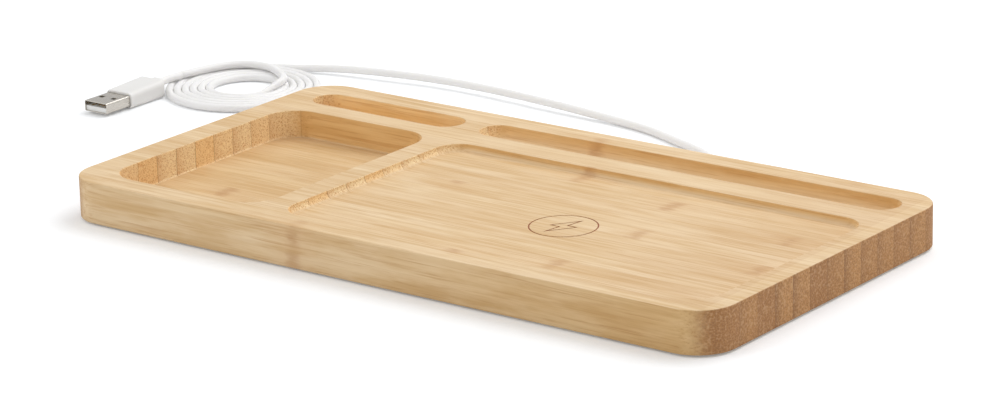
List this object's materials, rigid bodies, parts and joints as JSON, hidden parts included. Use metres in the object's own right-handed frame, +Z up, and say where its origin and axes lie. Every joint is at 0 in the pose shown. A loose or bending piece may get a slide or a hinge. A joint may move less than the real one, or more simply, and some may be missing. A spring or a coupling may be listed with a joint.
{
  "type": "desk organiser tray with wireless phone charger",
  "caption": "Bamboo desk tray with a catch-all pocket, short slot, pen groove and shallow phone recess over a wireless charging coil, with a detachable coiled USB cable.",
  "frame": {"origin": "centre of the bamboo slab's underside, on the underside mount", "axes": "+X along the tray's length, towards the phone recess end; +Y to the back, towards the pen groove and the USB-C port; +Z up"},
  "size_m": [0.3819, 0.2208, 0.0168],
  "materials": {
    "bamboo": "satin",
    "cover_plastic": "fine texture",
    "screw_steel": "satin",
    "silicone_rubber": "matte",
    "copper_litz": "enamelled strands",
    "adhesive_tape": "satin film",
    "ferrite": "matte",
    "carrier_plastic": "matte",
    "circuit_laminate": "solder mask",
    "chip_epoxy": "matte",
    "capacitor_ceramic": "satin",
    "resistor_black": "satin",
    "nickel_shell": "plated",
    "port_plastic": "moulded",
    "gold_contacts": "gold plated",
    "white_overmould": "smooth satin",
    "white_jacket": "smooth satin",
    "wire_insulation": "smooth",
    "white_insulator": "moulded"
  },
  "bodies": {
    "tray": {"bamboo_body": "bamboo", "bottom_cover": "cover_plastic", "cover_screws": "screw_steel", "anti_slip_feet": "silicone_rubber", "transmitter_coil": "copper_litz", "coil_tape": "adhesive_tape", "ferrite_sheet": "ferrite", "coil_carrier": "carrier_plastic", "carrier_screws": "screw_steel", "circuit_board": "circuit_laminate", "board_screws": "screw_steel", "controller_chip": "chip_epoxy", "power_transistors": "chip_epoxy", "resonant_capacitors": "capacitor_ceramic", "input_capacitors": "capacitor_ceramic", "power_inductor": "ferrite", "signal_resistors": "resistor_black", "port_shell": "nickel_shell", "port_tongue": "port_plastic", "port_contacts": "gold_contacts"},
    "cable": {"usb_c_shell": "nickel_shell", "usb_c_insert": "port_plastic", "usb_c_contacts": "gold_contacts", "usb_c_plug_board": "circuit_laminate", "usb_c_overmould": "white_overmould", "cable_jacket": "white_jacket", "cable_wires": "wire_insulation"},
    "usb_a_plug": {"plug_lead_jacket": "white_jacket", "plug_lead_wires": "wire_insulation", "usb_a_overmould": "white_overmould", "usb_a_shell": "nickel_shell", "usb_a_insulator": "white_insulator", "usb_a_contacts": "gold_contacts"}
  },
  "joints": [
    {"name": "cable_unplug", "type": "slide", "parent": "tray", "child": "cable", "axis": [0, 1, 0], "range_m": [0, 0.015]},
    {"name": "plug_lift", "type": "hinge", "parent": "cable", "child": "usb_a_plug", "pos_m": [-0.2291, 0.084, 0.00412], "axis": [-1, 0, 0], "range_deg": [0, 50]}
  ]
}
